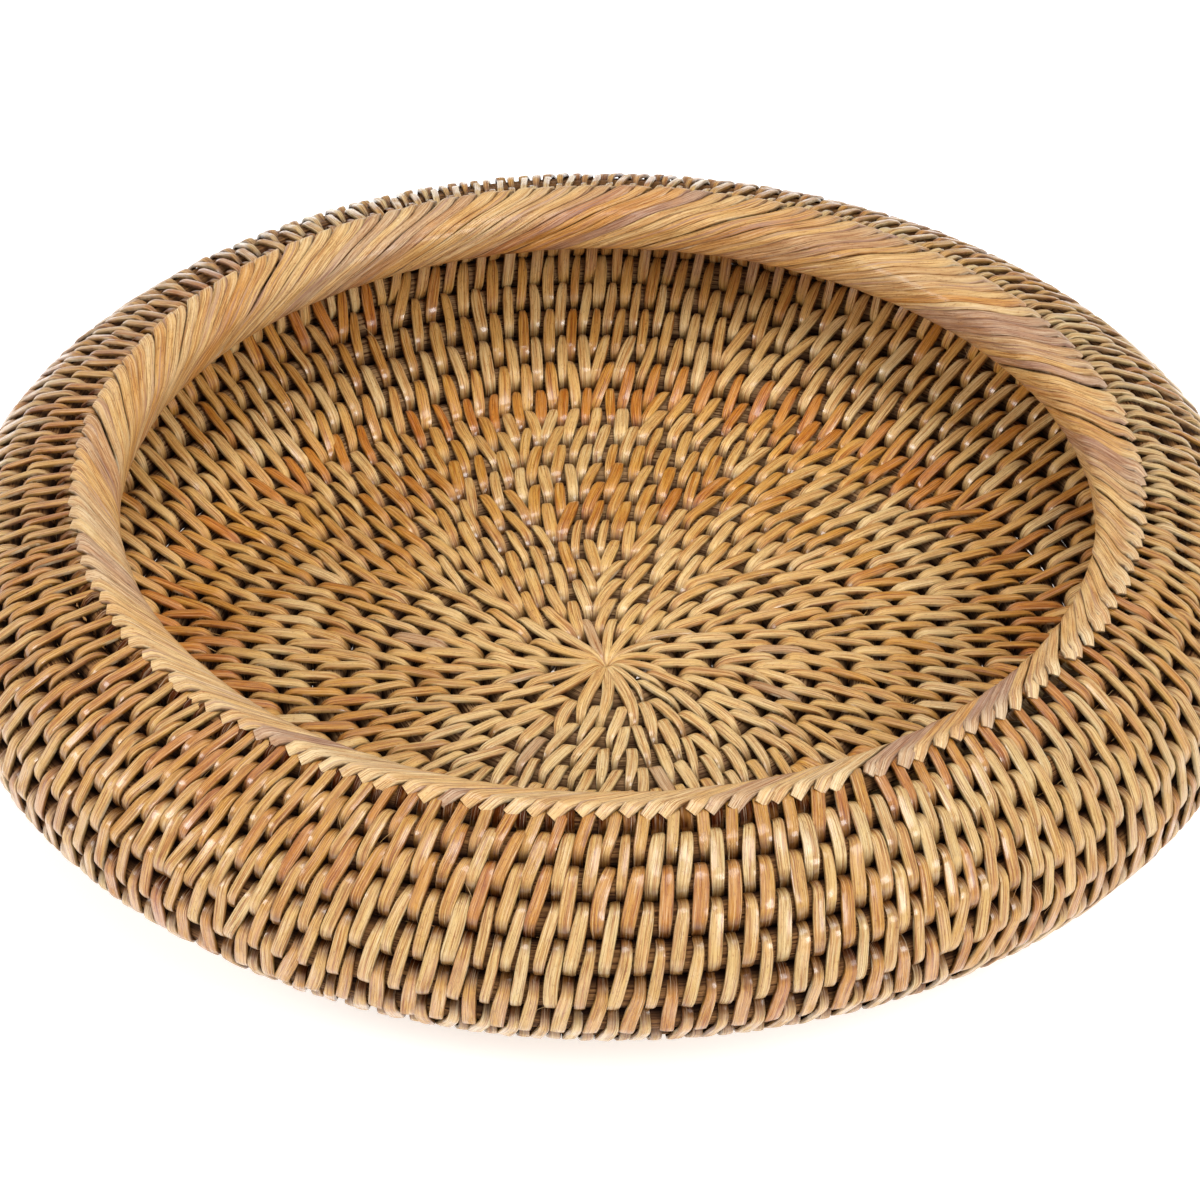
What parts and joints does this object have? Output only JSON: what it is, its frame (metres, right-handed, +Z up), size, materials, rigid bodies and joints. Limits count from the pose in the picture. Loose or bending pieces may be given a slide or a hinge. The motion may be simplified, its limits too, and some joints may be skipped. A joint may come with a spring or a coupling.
{
  "type": "coiled cane basket",
  "caption": "Shallow round coiled cane bowl-basket with a flat floor, wide flare, full belly, in-rolled shoulder and a thick wrapped border.",
  "frame": {"origin": "centre of the foot ring's lowest plane, under the middle of the floor", "axes": "+Z up through the middle of the mouth; +X and +Y level, the turns of the core pass into each other 125 degrees from +X"},
  "size_m": [0.3008, 0.3008, 0.0603],
  "materials": {
    "cane_core": "matt greyish-brown rattan core with fine lengthwise fibres",
    "straw_binding": "semi-gloss golden split rattan peel, straw to orange-brown",
    "border_strip": "semi-gloss pale straw split rattan, a few mauve-brown strips"
  },
  "bodies": {
    "root": {"start_eye": "cane_core", "floor_coil_02": "cane_core", "floor_coil_03": "cane_core", "floor_coil_04": "cane_core", "floor_coil_05": "cane_core", "floor_coil_06": "cane_core", "floor_coil_07": "cane_core", "floor_coil_08": "cane_core", "floor_coil_09": "cane_core", "floor_coil_10": "cane_core", "floor_coil_11": "cane_core", "floor_coil_12": "cane_core", "floor_coil_13": "cane_core", "flare_coil_14": "cane_core", "flare_coil_15": "cane_core", "flare_coil_16": "cane_core", "flare_coil_17": "cane_core", "flare_coil_18": "cane_core", "flare_coil_19": "cane_core", "belly_coil_20": "cane_core", "belly_coil_21": "cane_core", "belly_coil_22": "cane_core", "belly_coil_23": "cane_core", "shoulder_coil_24": "cane_core", "shoulder_coil_25": "cane_core", "shoulder_coil_26": "cane_core", "border_cane_upper": "cane_core", "border_cane_lower": "cane_core", "floor_binding_inside": "straw_binding", "floor_binding_underside": "straw_binding", "foot_ring_binding": "straw_binding", "flare_binding_inside": "straw_binding", "flare_binding_outside": "straw_binding", "belly_binding_inside": "straw_binding", "belly_binding_outside": "straw_binding", "shoulder_binding_inside": "straw_binding", "shoulder_binding_outside": "straw_binding", "border_binding": "border_strip"}
  },
  "joints": []
}
